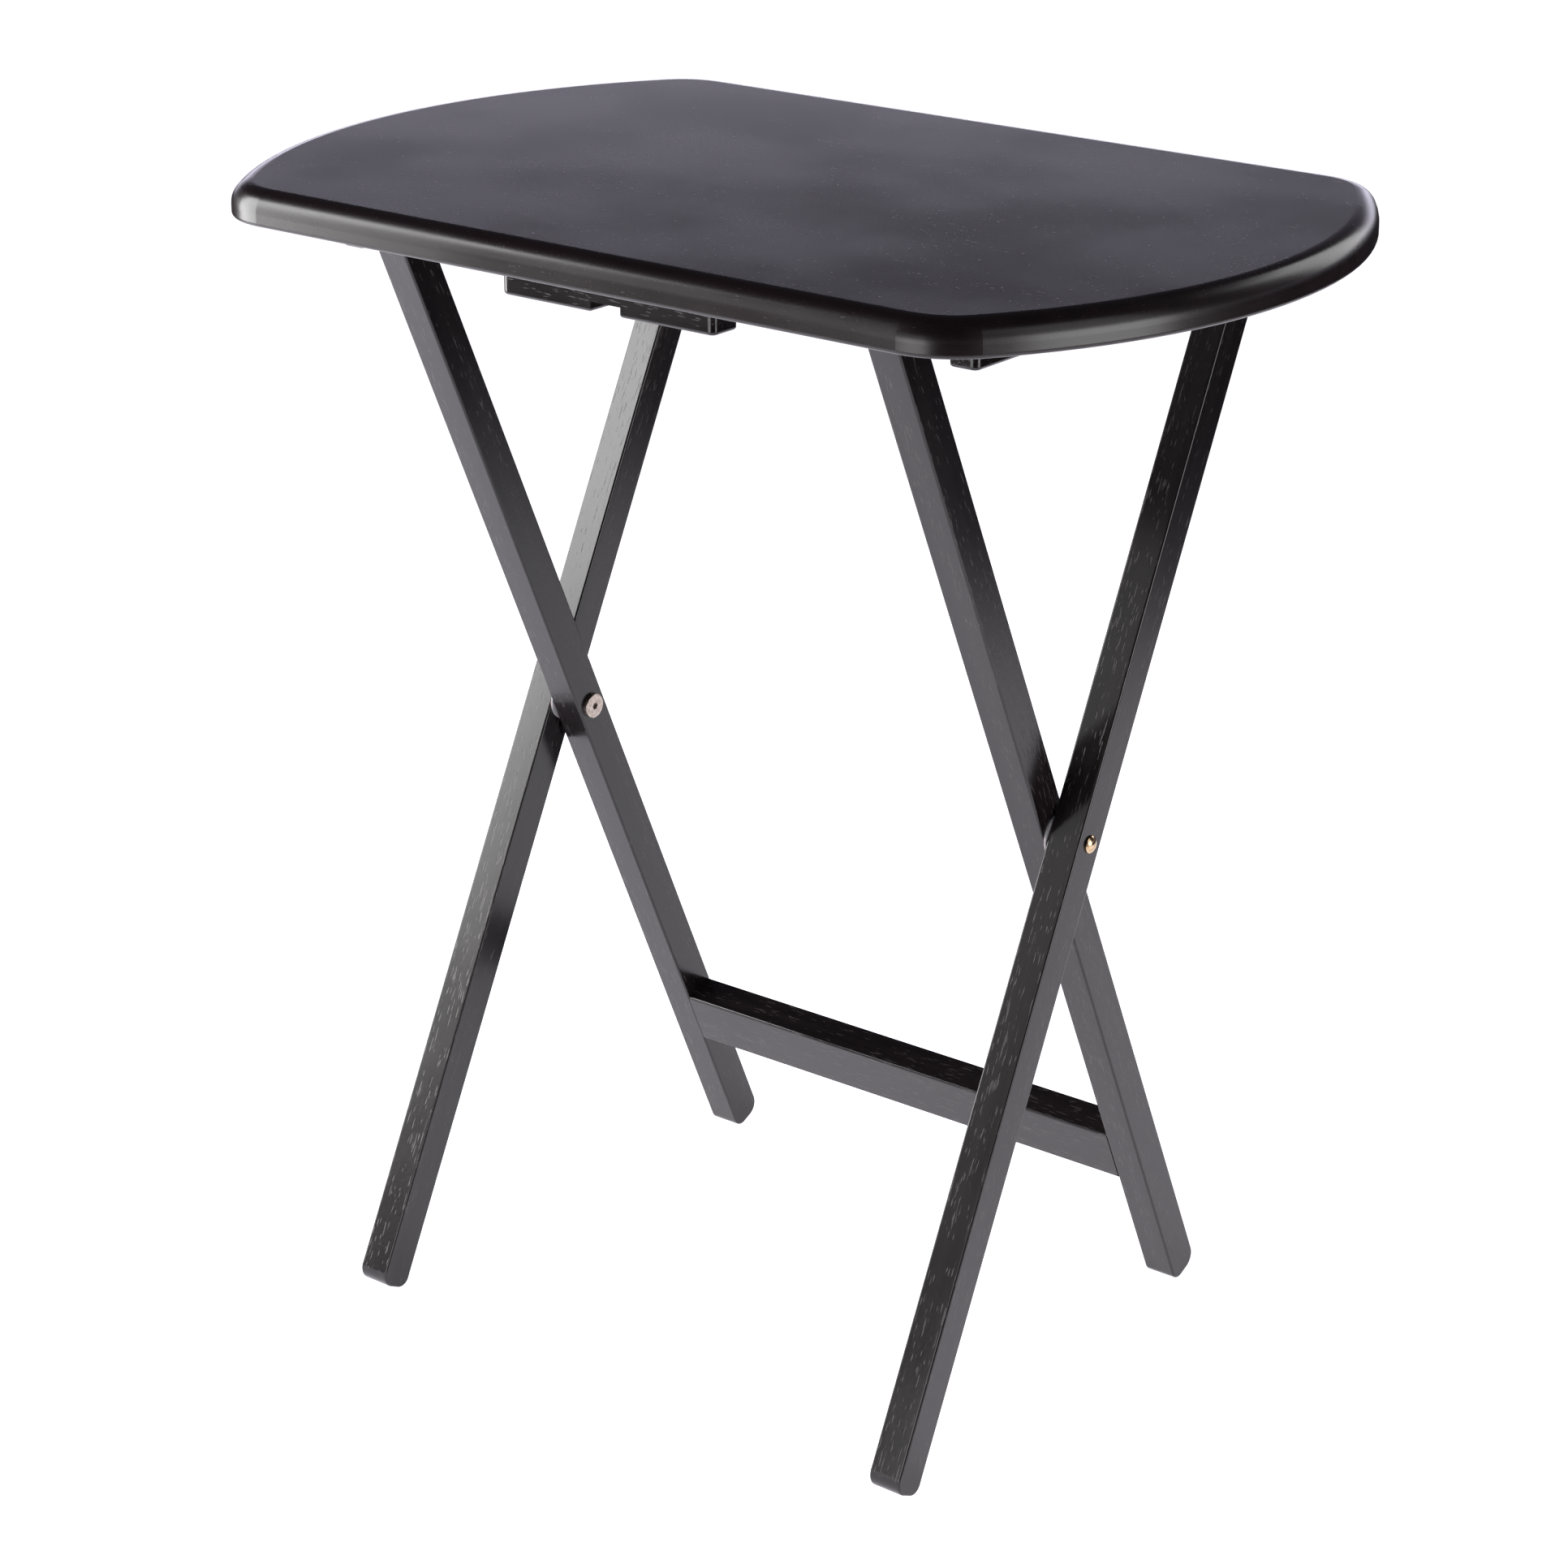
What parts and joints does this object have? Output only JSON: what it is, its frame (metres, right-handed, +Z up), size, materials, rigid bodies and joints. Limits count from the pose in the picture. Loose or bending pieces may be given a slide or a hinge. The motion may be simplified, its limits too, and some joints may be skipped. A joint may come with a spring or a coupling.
{
  "type": "folding tray table",
  "caption": "Wooden folding tray table: oval-ended top with rounded rim, crossed legs that scissor, a lower stretcher and a grooved block under the front edge.",
  "frame": {"origin": "on the floor, below the middle of the top", "axes": "+X along the top's long side, +Y from the front edge with the grooved block to the back, +Z up"},
  "size_m": [0.6178, 0.402, 0.66],
  "materials": {
    "top_wood": "satin espresso lacquer",
    "leg_wood": "satin espresso lacquer with open grain",
    "under_wood": "thin espresso stain",
    "bare_wood": "unfinished hardwood",
    "brass_plate": "polished brass plating",
    "steel": "zinc-plated steel",
    "dark_screw": "black oxide",
    "nylon": "natural nylon"
  },
  "bodies": {
    "outer_frame": {"outer_leg_left": "leg_wood", "outer_leg_right": "leg_wood"},
    "top": {"tabletop": "top_wood", "front_block": "under_wood", "block_screws": "dark_screw", "cleat_left": "under_wood", "cleat_screws_left": "dark_screw", "hinge_nut_left": "brass_plate", "hinge_screw_left": "steel", "hinge_washer_left": "nylon", "cleat_right": "under_wood", "cleat_screws_right": "dark_screw", "hinge_nut_right": "brass_plate", "hinge_screw_right": "steel", "hinge_washer_right": "nylon"},
    "inner_frame": {"lower_stretcher": "leg_wood", "cross_dowel": "under_wood", "inner_leg_left": "leg_wood", "stretcher_pins_left": "bare_wood", "pivot_nut_left": "brass_plate", "pivot_screw_left": "steel", "pivot_washer_left": "nylon", "inner_leg_right": "leg_wood", "stretcher_pins_right": "bare_wood", "pivot_nut_right": "brass_plate", "pivot_screw_right": "steel", "pivot_washer_right": "nylon"}
  },
  "joints": [
    {"name": "top_flip", "type": "hinge", "parent": "outer_frame", "child": "top", "pos_m": [0, 0.1505, 0.6288], "axis": [-1, 0, 0], "range_deg": [0, 116.35]},
    {"name": "leg_scissor", "type": "hinge", "parent": "outer_frame", "child": "inner_frame", "pos_m": [0, 0, 0.325], "axis": [-1, 0, 0], "range_deg": [0, 50.71]}
  ],
  "couplings": [
    {"joint": "leg_scissor", "follows": "top_flip", "ratio": 0.4358}
  ]
}
